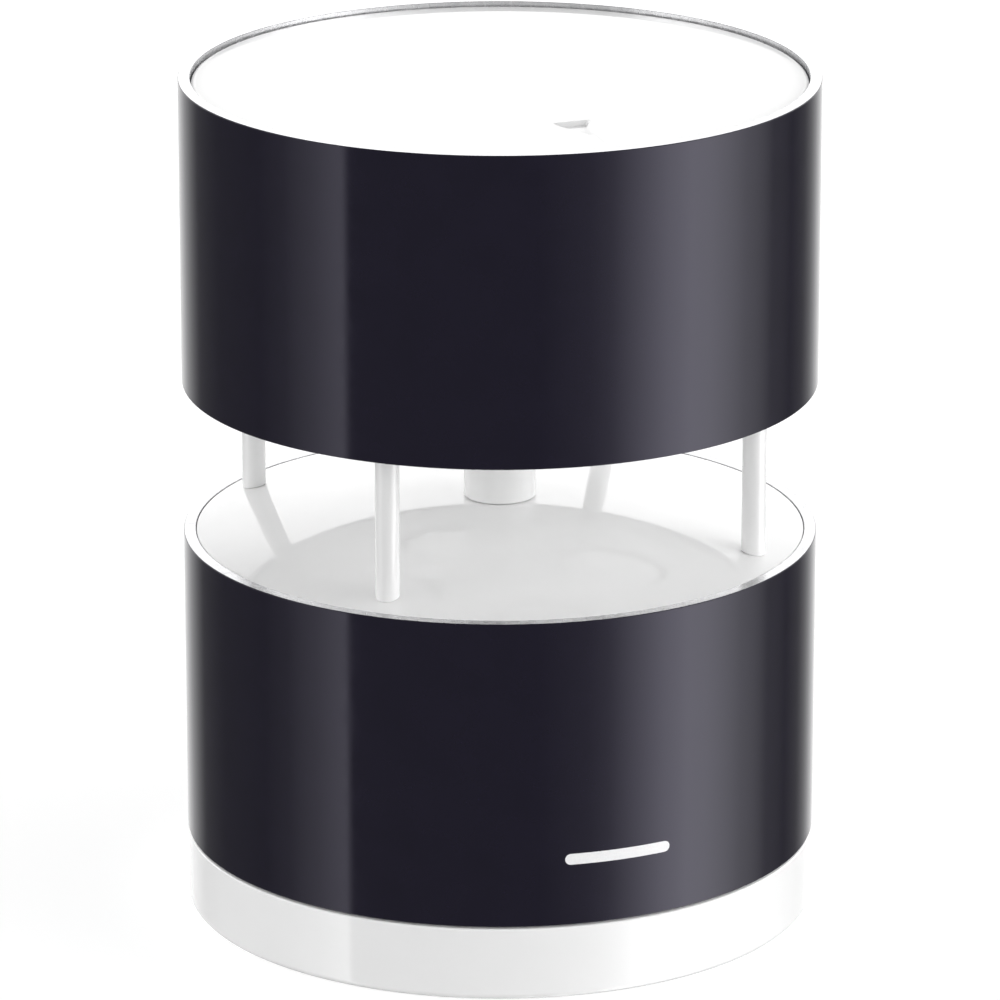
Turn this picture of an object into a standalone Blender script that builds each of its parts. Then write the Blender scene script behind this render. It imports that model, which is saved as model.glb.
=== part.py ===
"""Ultrasonic wind gauge: two black metal drums with white plastic cores, joined across an open gap.

Wind crosses the gap. Four transducers look down from the upper drum and bounce sound off the domed
roof of the lower one. Four cells lie in the lower drum, behind a quarter-turn base with a tripod thread.
Frame: +Z up, origin at the centre of the underside. The north arrow on the cap points along -Y.
"""

import math

import bmesh
import bpy
from mathutils import Matrix, Vector

MM = 0.001
GAP = 0.3 * MM
PAST = 1.0 * MM

# Outer form
OUTER_RADIUS = 42.5 * MM
TOTAL_HEIGHT = 114.3 * MM
BAND_HEIGHT = 10.3 * MM
LOWER_TOP = 52.0 * MM
UPPER_BOTTOM = 72.8 * MM
SLEEVE_WALL = 1.5 * MM
SLEEVE_CHAMFER = 0.2 * MM
CORE_RADIUS = 40.6 * MM
CORE_WALL = 2.0 * MM
CORE_INNER = CORE_RADIUS - CORE_WALL
CORE_INSET = 0.2 * MM
CORE_EDGE = 0.4 * MM

# Floor of the upper drum, and the domed roof of the lower one
PLATE_THICKNESS = 2.2 * MM
UPPER_FLOOR = UPPER_BOTTOM + CORE_INSET
UPPER_FLOOR_TOP = UPPER_FLOOR + PLATE_THICKNESS
DOME_RISE = 4.2 * MM
DOME_RINGS = 4

# Cap, its gasket, and the north arrow sunk in it
CAP_TOP = TOTAL_HEIGHT - CORE_INSET
CAP_UNDERSIDE = CAP_TOP - 2.5 * MM
CAP_SKIRT_DEPTH = 5.0 * MM
CAP_SKIRT_WALL = 1.6 * MM
CAP_EDGE = 0.5 * MM
GASKET_HEIGHT = 1.0 * MM
ARROW_BACK = 24.3 * MM
ARROW_TIP = 35.0 * MM
ARROW_HALF_WIDTH = 3.5 * MM
ARROW_DEPTH = 0.8 * MM
ARROW_WALL_RUN = 1.3 * MM

# Posts and the wire tube across the gap
POST_CIRCLE = 36.6 * MM
POST_RADIUS = 1.6 * MM
TAP_RADIUS = 0.95 * MM
TAP_DEPTH = 6.5 * MM
TUBE_RADIUS = 4.85 * MM
TUBE_BORE = 2.9 * MM
SPIGOT_RADIUS = 3.9 * MM
SPIGOT_LENGTH = 5.0 * MM
LOOM_RADIUS = 1.5 * MM
LOOM_SWING = 4.0 * MM
LOOM_BEND = 6.0 * MM
LOOM_STUB = 1.0 * MM
LOOM_STEPS = 5

# Ultrasonic transducers, their boots and the plate that clamps them
TRANSDUCER_CIRCLE = 19.0 * MM
TRANSDUCER_RADIUS = 8.0 * MM
TRANSDUCER_LENGTH = 12.0 * MM
MOUTH_RADIUS = 8.7 * MM
MOUTH_RECESS = 1.2 * MM
TRANSDUCER_FACE = UPPER_FLOOR + MOUTH_RECESS
TRANSDUCER_BACK = TRANSDUCER_FACE + TRANSDUCER_LENGTH
BOOT_INNER = TRANSDUCER_RADIUS + 0.2 * MM
BOOT_RADIUS = 9.8 * MM
BOOT_LENGTH = 8.5 * MM
PIN_RADIUS = 0.4 * MM
PIN_SPREAD = 2.5 * MM
CLAMP_LOW = TRANSDUCER_BACK + GAP
CLAMP_TOP = CLAMP_LOW + 1.6 * MM
CLAMP_WINDOW = 4.5 * MM
CLAMP_EYE = 8.0 * MM

# Circuit boards, their parts (x, y, width, depth, height) and their fixings
BOARD_THICKNESS = 1.6 * MM
SENSOR_BOARD_Z = 94.0 * MM
SENSOR_BOARD_RADIUS = 34.0 * MM
SENSOR_BOARD_PARTS_MM = [
    (-9, 11, 7, 7, 1.2),
    (10, 10, 5, 4, 1.0),
    (9, -10, 5, 4, 1.0),
    (-10, -11, 10, 5, 5.0),
]
MAIN_BOARD_Z = 43.5 * MM
MAIN_BOARD_RADIUS = 34.5 * MM
MAIN_BOARD_PARTS_MM = [
    (-13, 8, 9, 9, 1.2),
    (13, 9, 12, 15, 2.2),
    (12, -13, 10, 5, 4.0),
    (-12, -12, 4, 3, 1.4),
]
SOLDER_SINK = 0.4 * MM
BOSS_CIRCLE = 28.5 * MM
BOSS_RADIUS = 2.8 * MM
BOSS_RIM = BOSS_CIRCLE + BOSS_RADIUS + 0.6 * MM
PILOT_RADIUS = 0.95 * MM
CLEAR_RADIUS = 1.2 * MM
SHANK_RADIUS = 0.75 * MM
HEAD_RADIUS = 1.5 * MM
HEAD_HEIGHT = 1.4 * MM
SOCKET_RADIUS = 0.75 * MM
SOCKET_DEPTH = 0.7 * MM

# Cells, lying along X in two layers of two, and their contacts
CELL_RADIUS = 7.25 * MM
CELL_BODY = 49.5 * MM
CELL_NUB = 1.0 * MM
CELL_NUB_RADIUS = 2.6 * MM
CELL_EDGE = 0.5 * MM
CELL_END = (CELL_BODY + CELL_NUB) / 2
CELL_PITCH = 15.1 * MM
LOW_CELL_Z = 18.7 * MM
SPRING_WIRE = 0.3 * MM
SPRING_TURNS = 2.2
SPRING_STEPS = 16
SPRING_TIP = 2.0 * MM
SPRING_FLARE = 2.6 * MM
CONTACT_HALF = 4.5 * MM
CONTACT_THICKNESS = 0.5 * MM
DISH_FOOT = 2.6 * MM
DISH_TOP = 1.5 * MM
DISH_SINK = 0.2 * MM

# Battery carrier
BAY_HALF_LENGTH = 28.3 * MM
BAY_WALL = 1.8 * MM
BAY_SIDE = CELL_PITCH / 2 + CELL_RADIUS + 0.4 * MM
BAY_END_HALF = 12.5 * MM
BAY_SIDE_HALF = 24.0 * MM
BAY_ROOF = LOW_CELL_Z + CELL_PITCH + CELL_RADIUS + 0.5 * MM
BAY_ROOF_TOP = BAY_ROOF + 1.6 * MM
BAY_SINK = 0.8 * MM
LEDGE_HALF_LENGTH = 8.0 * MM
LEDGE_REACH = 10.5 * MM
LEDGE_HALF = 0.22 * MM

# Base: a quarter turn lowers it by DROP, on four helical ridges inside the lower core
DROP = 6.0 * MM
QUARTER = math.pi / 2
SLOPE = DROP / QUARTER
STARTS = 4
FLOOR = 2.4 * MM
FLOOR_GROOVE = 3.0 * MM
FOOT_CHAMFER = 0.7 * MM
BAND_INNER = OUTER_RADIUS - 2.2 * MM
SHELF = 10.6 * MM
SHELF_RADIUS = 38.1 * MM
COLLAR_RADIUS = 36.3 * MM
COLLAR_INNER = COLLAR_RADIUS - 2.0 * MM
COLLAR_TOP = 24.0 * MM
LUG_BOTTOM = 21.5 * MM
LUG_HEIGHT = 1.8 * MM
LUG_ROOT = 0.5 * MM
LUG_REACH = 1.7 * MM
LUG_HALF_ANGLE = math.radians(9)
RIDGE_HEIGHT = 2.0 * MM
RIDGE_LOW = LUG_BOTTOM - GAP - RIDGE_HEIGHT
RIDGE_RADII = (36.9 * MM, CORE_INNER + 0.6 * MM)
RIDGE_ANGLES = (math.radians(-60), LUG_HALF_ANGLE + math.radians(4))
STOP_ANGLES = (LUG_HALF_ANGLE + math.radians(1), LUG_HALF_ANGLE + math.radians(5))
CORE_BOTTOM = BAND_HEIGHT + 0.5 * MM
SEAL_SECTION = 0.9 * MM
SEAL_SIDES = 6

# Quarter-inch tripod insert in its boss
THREAD_RADIUS = 3.175 * MM
INSERT_RADIUS = 4.7 * MM
INSERT_WAIST = 4.2 * MM
WAIST_LOW = 3.2 * MM
WAIST_HIGH = 4.4 * MM
INSERT_LOW = 0.4 * MM
INSERT_TOP = 7.0 * MM
INSERT_CHAMFER = 0.3 * MM
INSERT_SOCKET = INSERT_RADIUS + GAP
INSERT_SOCKET_TOP = 7.3 * MM
BOSS_NECK = 7.0 * MM
BOSS_FLANGE = 8.4 * MM
BOSS_FLANGE_LOW = 7.5 * MM
BOSS_TOP = 8.8 * MM

# Retainer plate round the tripod boss, and its foam pads
RETAINER_LOW = 5.5 * MM
RETAINER_TOP = 7.1 * MM
RETAINER_HOLE = 7.5 * MM
RETAINER_RADIUS = 30.0 * MM
FIN_HALF_LENGTH = 12.0 * MM
FIN_THICKNESS = 1.6 * MM
FIN_INNER = BAY_SIDE + BAY_WALL + GAP
FIN_TOP = LOW_CELL_Z + 0.5 * MM
FIN_ROOT = 0.6 * MM
SLIT_HALF = 0.6 * MM
SLIT_END = 12.0 * MM
PAD_NEAR = 10.5 * MM
PAD_FAR = 21.0 * MM
PAD_HALF_WIDTH = 13.0 * MM

LARGE, MEDIUM, SMALL, TINY = 36, 20, 10, 6
SHARP_ANGLE = math.radians(40)
COLLECTION = "ultrasonic_wind_gauge"
DIAGONALS = [math.radians(45 + 90 * i) for i in range(4)]
CARDINALS = [math.radians(90 * i) for i in range(4)]

# Name: base colour, roughness, metallic
FINISHES = {
    "black_metal": ((0.014, 0.013, 0.020), 0.22, 0.85),
    "white_gloss": ((0.86, 0.86, 0.85), 0.16, 0.0),
    "white_plastic": ((0.80, 0.80, 0.78), 0.35, 0.0),
    "steel": ((0.62, 0.62, 0.60), 0.30, 1.0),
    "brass": ((0.72, 0.50, 0.20), 0.32, 1.0),
    "rubber": ((0.05, 0.05, 0.05), 0.70, 0.0),
    "foam": ((0.16, 0.16, 0.17), 0.95, 0.0),
    "board_green": ((0.02, 0.16, 0.07), 0.45, 0.0),
    "transducer_can": ((0.70, 0.71, 0.72), 0.35, 0.9),
    "cell_jacket": ((0.05, 0.09, 0.16), 0.30, 0.2),
    "wire_jacket": ((0.30, 0.30, 0.32), 0.55, 0.0),
}


def clear_scene():
    for obj in list(bpy.data.objects):
        bpy.data.objects.remove(obj, do_unlink=True)


def new_collection(name):
    collection = bpy.data.collections.new(name)
    bpy.context.scene.collection.children.link(collection)
    return collection


def make_materials():
    made = {}
    for name, (colour, roughness, metallic) in FINISHES.items():
        material = bpy.data.materials.new(name)
        material.use_nodes = True
        shader = material.node_tree.nodes["Principled BSDF"]
        shader.inputs["Base Color"].default_value = (*colour, 1.0)
        shader.inputs["Roughness"].default_value = roughness
        shader.inputs["Metallic"].default_value = metallic
        material.diffuse_color = (*colour, 1.0)
        made[name] = material
    return made


def mesh_from(bm, name):
    """Closed mesh with its faces turned outwards, smooth except across corners."""
    bmesh.ops.recalc_face_normals(bm, faces=bm.faces)
    mesh = bpy.data.meshes.new(name)
    bm.to_mesh(mesh)
    bm.free()
    mesh.shade_smooth()
    mesh.set_sharp_from_angle(angle=SHARP_ANGLE)
    return mesh


def place(name, data, finish, parent=None):
    """Puts one sub-part in the model's collection, with its own copy of its finish."""
    material = MATERIALS[finish].copy()
    material.name = name
    data.materials.append(material)
    obj = bpy.data.objects.new(name, data)
    PARTS.objects.link(obj)
    if parent is not None:
        obj.parent = parent
    return obj


def joint_empty(name, parent=None):
    """An empty at the origin, on the closure's axis. The pieces that move together hang from it."""
    empty = bpy.data.objects.new(name, None)
    empty.empty_display_size = 10 * MM
    PARTS.objects.link(empty)
    empty.parent = parent
    return empty


def on_circle(radius, angle):
    return radius * math.cos(angle), radius * math.sin(angle)


def turned(name, profile, segments, finish, parent=None):
    """A profile of (radius, height) points turned about Z, and closed unless it starts on the axis."""
    bm = bmesh.new()
    points = [bm.verts.new((radius, 0, z)) for radius, z in profile]
    pairs = list(zip(points, points[1:]))
    if profile[0][0] > 0:
        pairs.append((points[-1], points[0]))
    for pair in pairs:
        bm.edges.new(pair)
    bmesh.ops.spin(
        bm,
        geom=bm.verts[:] + bm.edges[:],
        cent=(0, 0, 0),
        axis=(0, 0, 1),
        angle=2 * math.pi,
        steps=segments,
        use_merge=True,
    )
    bmesh.ops.remove_doubles(bm, verts=bm.verts[:], dist=0.01 * MM)
    return place(name, mesh_from(bm, name), finish, parent)


def add_cylinder(bm, x, y, low, high, radius, segments, top_radius=None):
    bmesh.ops.create_cone(
        bm,
        cap_ends=True,
        segments=segments,
        radius1=radius,
        radius2=radius if top_radius is None else top_radius,
        depth=high - low,
        matrix=Matrix.Translation((x, y, (low + high) / 2)),
    )


def add_box(bm, xs, ys, zs):
    """A box from three spans, each given either way round."""
    low = Vector([min(span) for span in (xs, ys, zs)])
    high = Vector([max(span) for span in (xs, ys, zs)])
    matrix = Matrix.Translation((low + high) / 2) @ Matrix.Diagonal((*(high - low), 1.0))
    bmesh.ops.create_cube(bm, size=1.0, matrix=matrix)


def add_helical_block(bm, radii, angles, turn, bottom, height, cuts):
    """A block that climbs round Z by SLOPE. Its underside is at bottom where its own angle is 0."""
    block = bmesh.new()
    bmesh.ops.create_cube(block, size=1.0)
    along = [e for e in block.edges if abs(e.verts[0].co.x - e.verts[1].co.x) > 0.5]
    bmesh.ops.subdivide_edges(block, edges=along, cuts=cuts, use_grid_fill=True)
    for vertex in block.verts:
        across, out, up = (c + 0.5 for c in vertex.co)
        angle = angles[0] + across * (angles[1] - angles[0])
        x, y = on_circle(radii[0] + out * (radii[1] - radii[0]), angle + turn)
        vertex.co = (x, y, bottom + SLOPE * angle + up * height)
    mesh = mesh_from(block, "block")
    bm.from_mesh(mesh)
    bpy.data.meshes.remove(mesh)


def boolean(obj, bm, operation):
    """A live Boolean with a helper that is drawn as wire and left out of the model."""
    name = f"{obj.name}_{operation.lower()}_{len(obj.modifiers)}"
    other = bpy.data.objects.new(name, mesh_from(bm, name))
    CUTTERS.objects.link(other)
    other.display_type = "WIRE"
    other.hide_render = True
    modifier = obj.modifiers.new(operation.lower(), "BOOLEAN")
    modifier.operation = operation
    modifier.object = other
    modifier.solver = "EXACT"
    return other


def cut(obj, bm):
    return boolean(obj, bm, "DIFFERENCE")


def join(obj, bm):
    boolean(obj, bm, "UNION")


def round_wire(name, points, radius, resolution, finish):
    curve = bpy.data.curves.new(name, "CURVE")
    curve.dimensions = "3D"
    curve.bevel_depth = radius
    curve.bevel_resolution = resolution
    curve.use_fill_caps = True
    spline = curve.splines.new("POLY")
    spline.points.add(len(points) - 1)
    for point, (x, y, z) in zip(spline.points, points):
        point.co = (x, y, z, 1.0)
    return place(name, curve, finish)


def spread(start, end, count):
    return [start + (end - start) * i / (count - 1) for i in range(count)]


def dome_height(radius):
    """The roof of the lower core: a shallow dome that meets the sleeve's rim at CORE_RADIUS."""
    return LOWER_TOP + DOME_RISE * (1 - (radius / CORE_RADIUS) ** 2)


def sleeve(name, low, high):
    inner = OUTER_RADIUS - SLEEVE_WALL
    profile = [
        (inner, high),
        (OUTER_RADIUS - SLEEVE_CHAMFER, high),
        (OUTER_RADIUS, high - SLEEVE_CHAMFER),
        (OUTER_RADIUS, low + SLEEVE_CHAMFER),
        (OUTER_RADIUS - SLEEVE_CHAMFER, low),
        (inner, low),
    ]
    turned(name, profile, LARGE, "black_metal")


def arrow_pocket():
    """The arrow's cutter: a long triangle, tip towards -Y, whose walls slope in to a smaller floor."""
    length = ARROW_TIP - ARROW_BACK
    flank = math.hypot(ARROW_HALF_WIDTH, length)
    inscribed = ARROW_HALF_WIDTH * length / (ARROW_HALF_WIDTH + flank)
    centre = Vector((0, -ARROW_BACK - inscribed, CAP_TOP))
    corners = [(-ARROW_HALF_WIDTH, -ARROW_BACK), (0, -ARROW_TIP), (ARROW_HALF_WIDTH, -ARROW_BACK)]
    bm = bmesh.new()
    rings = []
    for side in (-1, 1):
        scale = 1 + side * ARROW_WALL_RUN / inscribed
        rise = Vector((0, 0, side * ARROW_DEPTH))
        outline = [Vector((x, y, CAP_TOP)) - centre for x, y in corners]
        rings.append([bm.verts.new(centre + reach * scale + rise) for reach in outline])
    floor, mouth = rings
    bm.faces.new(floor)
    bm.faces.new(mouth)
    for i in range(3):
        following = (i + 1) % 3
        bm.faces.new((floor[i], floor[following], mouth[following], mouth[i]))
    return bm


def top_cap():
    skirt_outer = CORE_INNER - GAP
    skirt_inner = skirt_outer - CAP_SKIRT_WALL
    skirt_low = CAP_UNDERSIDE - CAP_SKIRT_DEPTH
    profile = [
        (0, CAP_TOP),
        (CORE_RADIUS - CAP_EDGE, CAP_TOP),
        (CORE_RADIUS, CAP_TOP - CAP_EDGE),
        (CORE_RADIUS, CAP_UNDERSIDE),
        (skirt_outer, CAP_UNDERSIDE),
        (skirt_outer, skirt_low),
        (skirt_inner, skirt_low),
        (skirt_inner, CAP_UNDERSIDE),
        (0, CAP_UNDERSIDE),
    ]
    cap = turned("top_cap", profile, LARGE, "white_gloss")
    pocket = cut(cap, arrow_pocket())
    pocket.data.shade_flat()


def cap_gasket():
    high = CAP_UNDERSIDE - GAP
    low = high - GASKET_HEIGHT
    inner = CORE_INNER + GAP
    outer = CORE_RADIUS - GAP
    turned("cap_gasket", [(inner, high), (outer, high), (outer, low), (inner, low)], LARGE, "rubber")


def upper_housing():
    """The upper core: a white cup, open at the top, whose floor holds the transducers and the posts."""
    wall_top = CAP_UNDERSIDE - GASKET_HEIGHT - 2 * GAP
    hole = SPIGOT_RADIUS + GAP
    profile = [
        (CORE_INNER, wall_top),
        (CORE_RADIUS, wall_top),
        (CORE_RADIUS, UPPER_FLOOR + CORE_EDGE),
        (CORE_RADIUS - CORE_EDGE, UPPER_FLOOR),
        (hole, UPPER_FLOOR),
        (hole, UPPER_FLOOR_TOP),
        (CORE_INNER, UPPER_FLOOR_TOP),
    ]
    housing = turned("upper_housing", profile, LARGE, "white_gloss")
    bosses = bmesh.new()
    holes = bmesh.new()
    boss_top = CLAMP_LOW - GAP
    for angle in DIAGONALS:
        x, y = on_circle(BOSS_CIRCLE, angle)
        add_cylinder(bosses, x, y, UPPER_FLOOR_TOP - PAST / 2, boss_top, BOSS_RADIUS, SMALL)
        add_cylinder(holes, x, y, UPPER_FLOOR_TOP + PAST, boss_top + PAST, PILOT_RADIUS, TINY)
        x, y = on_circle(POST_CIRCLE, angle)
        add_cylinder(holes, x, y, UPPER_FLOOR - PAST, UPPER_FLOOR_TOP + PAST, CLEAR_RADIUS, SMALL)
    for angle in CARDINALS:
        x, y = on_circle(TRANSDUCER_CIRCLE, angle)
        add_cylinder(holes, x, y, UPPER_FLOOR - PAST, UPPER_FLOOR_TOP + PAST, MOUTH_RADIUS, MEDIUM)
    join(housing, bosses)
    cut(housing, holes)


def transducer(number, angle):
    """A round can that faces down, with two solder pins on its back."""
    x, y = on_circle(TRANSDUCER_CIRCLE, angle)
    name = f"transducer_{number}"
    can = bmesh.new()
    add_cylinder(can, x, y, TRANSDUCER_FACE, TRANSDUCER_BACK, TRANSDUCER_RADIUS, MEDIUM)
    obj = place(name, mesh_from(can, name), "transducer_can")
    pins = bmesh.new()
    for side in (-1, 1):
        across_x, across_y = on_circle(side * PIN_SPREAD, angle + QUARTER)
        pin_low = TRANSDUCER_BACK - PAST / 2
        add_cylinder(pins, x + across_x, y + across_y, pin_low, SENSOR_BOARD_Z - GAP, PIN_RADIUS, TINY)
    join(obj, pins)


def transducer_boot(number, angle):
    low = UPPER_FLOOR_TOP + GAP
    high = low + BOOT_LENGTH
    section = [(BOOT_INNER, high), (BOOT_RADIUS, high), (BOOT_RADIUS, low), (BOOT_INNER, low)]
    boot = turned(f"transducer_boot_{number}", section, MEDIUM, "rubber")
    boot.location = (*on_circle(TRANSDUCER_CIRCLE, angle), 0)


def transducer_clamp():
    """A plate that holds the four transducers down, with four standoffs for the sensor board."""
    plate = bmesh.new()
    add_cylinder(plate, 0, 0, CLAMP_LOW, CLAMP_TOP, BOSS_RIM, LARGE)
    clamp = place("transducer_clamp", mesh_from(plate, "transducer_clamp"), "white_plastic")
    standoffs = bmesh.new()
    holes = bmesh.new()
    for angle in DIAGONALS:
        x, y = on_circle(BOSS_CIRCLE, angle)
        add_cylinder(standoffs, x, y, CLAMP_TOP - PAST / 2, SENSOR_BOARD_Z - GAP, BOSS_RADIUS, SMALL)
        add_cylinder(holes, x, y, CLAMP_LOW - PAST, SENSOR_BOARD_Z + PAST, CLEAR_RADIUS, TINY)
    for angle in CARDINALS:
        x, y = on_circle(TRANSDUCER_CIRCLE, angle)
        add_cylinder(holes, x, y, CLAMP_LOW - PAST, CLAMP_TOP + PAST, CLAMP_WINDOW, SMALL)
    add_cylinder(holes, 0, 0, CLAMP_LOW - PAST, CLAMP_TOP + PAST, CLAMP_EYE, MEDIUM)
    join(clamp, standoffs)
    cut(clamp, holes)


def board(name, low, radius, parts_mm):
    """A round circuit board with its parts as boxes on its upper side."""
    high = low + BOARD_THICKNESS
    disc = bmesh.new()
    add_cylinder(disc, 0, 0, low, high, radius, LARGE)
    obj = place(name, mesh_from(disc, name), "board_green")
    parts = bmesh.new()
    for sizes in parts_mm:
        x, y, width, depth, height = (size * MM for size in sizes)
        xs = (x - width / 2, x + width / 2)
        ys = (y - depth / 2, y + depth / 2)
        add_box(parts, xs, ys, (high - SOLDER_SINK, high + height))
    join(obj, parts)
    holes = bmesh.new()
    for angle in DIAGONALS:
        x, y = on_circle(BOSS_CIRCLE, angle)
        add_cylinder(holes, x, y, low - PAST, high + PAST, CLEAR_RADIUS, TINY)
    cut(obj, holes)


def screw(name, circle, angle, seat, tip):
    """A pan head screw with a hexagon socket. It points down where its tip is below its seat."""
    up = 1 if tip > seat else -1
    head_end = seat - up * HEAD_HEIGHT
    profile = [
        (0, head_end),
        (HEAD_RADIUS, head_end),
        (HEAD_RADIUS, seat),
        (SHANK_RADIUS, seat),
        (SHANK_RADIUS, tip),
        (0, tip),
    ]
    x, y = on_circle(circle, angle)
    obj = turned(name, profile, SMALL, "steel")
    obj.location = (x, y, 0)
    socket = bmesh.new()
    ends = sorted((head_end - up * PAST, head_end + up * SOCKET_DEPTH))
    add_cylinder(socket, x, y, *ends, SOCKET_RADIUS, TINY)
    cut(obj, socket)


def post(number, angle):
    """A slim post, tapped at both ends and held by a screw from inside each drum."""
    low = dome_height(POST_CIRCLE - POST_RADIUS) + GAP
    high = UPPER_FLOOR - GAP
    profile = [
        (0, low + TAP_DEPTH),
        (TAP_RADIUS, low + TAP_DEPTH),
        (TAP_RADIUS, low),
        (POST_RADIUS, low),
        (POST_RADIUS, high),
        (TAP_RADIUS, high),
        (TAP_RADIUS, high - TAP_DEPTH),
        (0, high - TAP_DEPTH),
    ]
    obj = turned(f"post_{number}", profile, SMALL + 2, "white_gloss")
    obj.location = (*on_circle(POST_CIRCLE, angle), 0)
    lower_seat = dome_height(POST_CIRCLE + HEAD_RADIUS) - PLATE_THICKNESS - GAP
    lower_tip = low + TAP_DEPTH - PAST
    upper_seat = UPPER_FLOOR_TOP + GAP
    upper_tip = high - TAP_DEPTH + PAST
    screw(f"lower_post_screw_{number}", POST_CIRCLE, angle, lower_seat, lower_tip)
    screw(f"upper_post_screw_{number}", POST_CIRCLE, angle, upper_seat, upper_tip)


def centre_tube():
    """The tube that carries the wires. A spigot at each end sits in a hole in each core."""
    low = dome_height(0) + GAP
    high = UPPER_FLOOR - GAP
    profile = [
        (TUBE_BORE, high + SPIGOT_LENGTH),
        (SPIGOT_RADIUS, high + SPIGOT_LENGTH),
        (SPIGOT_RADIUS, high),
        (TUBE_RADIUS, high),
        (TUBE_RADIUS, low),
        (SPIGOT_RADIUS, low),
        (SPIGOT_RADIUS, low - SPIGOT_LENGTH),
        (TUBE_BORE, low - SPIGOT_LENGTH),
    ]
    turned("centre_tube", profile, MEDIUM, "white_gloss")


def wire_loom():
    """The bundle of wires through the centre tube, from the main board to the sensor board."""
    low = MAIN_BOARD_Z + BOARD_THICKNESS + GAP
    high = SENSOR_BOARD_Z - GAP
    lower_bend = []
    upper_bend = []
    for i in range(LOOM_STEPS + 1):
        sideways = LOOM_SWING * (0.5 + 0.5 * math.cos(math.pi * i / LOOM_STEPS))
        along = LOOM_STUB + LOOM_BEND * i / LOOM_STEPS
        lower_bend.append((sideways, 0, low + along))
        upper_bend.insert(0, (-sideways, 0, high - along))
    points = [(LOOM_SWING, 0, low), *lower_bend, *upper_bend, (-LOOM_SWING, 0, high)]
    round_wire("wire_loom", points, LOOM_RADIUS, 1, "wire_jacket")


def lower_core_body():
    hole = SPIGOT_RADIUS + GAP
    over = spread(hole, CORE_RADIUS - CORE_EDGE, DOME_RINGS)
    under = spread(CORE_INNER, hole, DOME_RINGS)
    profile = [(radius, dome_height(radius)) for radius in over]
    profile += [(CORE_RADIUS, LOWER_TOP - CORE_EDGE), (CORE_RADIUS, CORE_BOTTOM), (CORE_INNER, CORE_BOTTOM)]
    profile += [(radius, dome_height(radius) - PLATE_THICKNESS) for radius in under]
    return turned("lower_housing", profile, LARGE, "white_gloss")


def lower_housing():
    """The lower core: a white cup, open at the bottom. Its domed roof is the sound mirror."""
    housing = lower_core_body()
    bosses = bmesh.new()
    holes = bmesh.new()
    boss_low = MAIN_BOARD_Z + BOARD_THICKNESS + GAP
    boss_high = dome_height(BOSS_CIRCLE) - PLATE_THICKNESS / 2
    for angle in DIAGONALS:
        x, y = on_circle(BOSS_CIRCLE, angle)
        add_cylinder(bosses, x, y, boss_low, boss_high, BOSS_RADIUS, SMALL)
        add_cylinder(holes, x, y, boss_low - PAST, boss_high - 3 * PAST, PILOT_RADIUS, TINY)
        x, y = on_circle(POST_CIRCLE, angle)
        add_cylinder(holes, x, y, LOWER_TOP - 4 * PAST, LOWER_TOP + 4 * PAST, CLEAR_RADIUS, SMALL)
    ridges = bmesh.new()
    stops = bmesh.new()
    for start in range(STARTS):
        turn = start * QUARTER
        add_helical_block(ridges, RIDGE_RADII, RIDGE_ANGLES, turn, RIDGE_LOW, RIDGE_HEIGHT, 5)
        stop_height = RIDGE_HEIGHT + LUG_HEIGHT
        add_helical_block(stops, RIDGE_RADII, STOP_ANGLES, turn, RIDGE_LOW + PAST, stop_height, 1)
    join(housing, bosses)
    join(housing, ridges)
    join(housing, stops)
    cut(housing, holes)


def battery_carrier():
    """A cradle under the main board, open at the bottom, with end walls for the contacts."""
    roof = bmesh.new()
    add_cylinder(roof, 0, 0, BAY_ROOF, BAY_ROOF_TOP, BOSS_RIM, LARGE)
    carrier = place("battery_carrier", mesh_from(roof, "battery_carrier"), "white_plastic")
    walls = bmesh.new()
    ledges = bmesh.new()
    wall_heights = (LOW_CELL_Z - CELL_RADIUS, BAY_ROOF + BAY_SINK)
    ledge_z = LOW_CELL_Z + CELL_PITCH / 2
    for way in (-1, 1):
        ends = (way * BAY_HALF_LENGTH, way * (BAY_HALF_LENGTH + BAY_WALL))
        add_box(walls, ends, (-BAY_END_HALF, BAY_END_HALF), wall_heights)
        sides = (way * BAY_SIDE, way * (BAY_SIDE + BAY_WALL))
        add_box(walls, (-BAY_SIDE_HALF, BAY_SIDE_HALF), sides, wall_heights)
        reach = (way * LEDGE_REACH, way * (BAY_SIDE + BAY_SINK))
        heights = (ledge_z - LEDGE_HALF, ledge_z + LEDGE_HALF)
        add_box(ledges, (-LEDGE_HALF_LENGTH, LEDGE_HALF_LENGTH), reach, heights)
    holes = bmesh.new()
    for angle in DIAGONALS:
        x, y = on_circle(BOSS_CIRCLE, angle)
        add_cylinder(holes, x, y, BAY_ROOF - PAST, BAY_ROOF_TOP + PAST, CLEAR_RADIUS, TINY)
    join(carrier, walls)
    join(carrier, ledges)
    cut(carrier, holes)


def carrier_screws():
    """They hold the carrier and the main board up against the lower core's bosses."""
    tip = dome_height(BOSS_CIRCLE) - 5 * PAST
    for number, angle in enumerate(DIAGONALS, 1):
        screw(f"carrier_screw_{number}", BOSS_CIRCLE, angle, BAY_ROOF - GAP, tip)


def cell_places():
    """(number, y, z, way) of each cell. Neighbours face opposite ways, so they wire in series."""
    places = []
    for layer in range(2):
        for row in range(2):
            y = (row - 0.5) * CELL_PITCH
            z = LOW_CELL_Z + layer * CELL_PITCH
            way = 1 if (layer + row) % 2 == 0 else -1
            places.append((2 * layer + row + 1, y, z, way))
    return places


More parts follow.
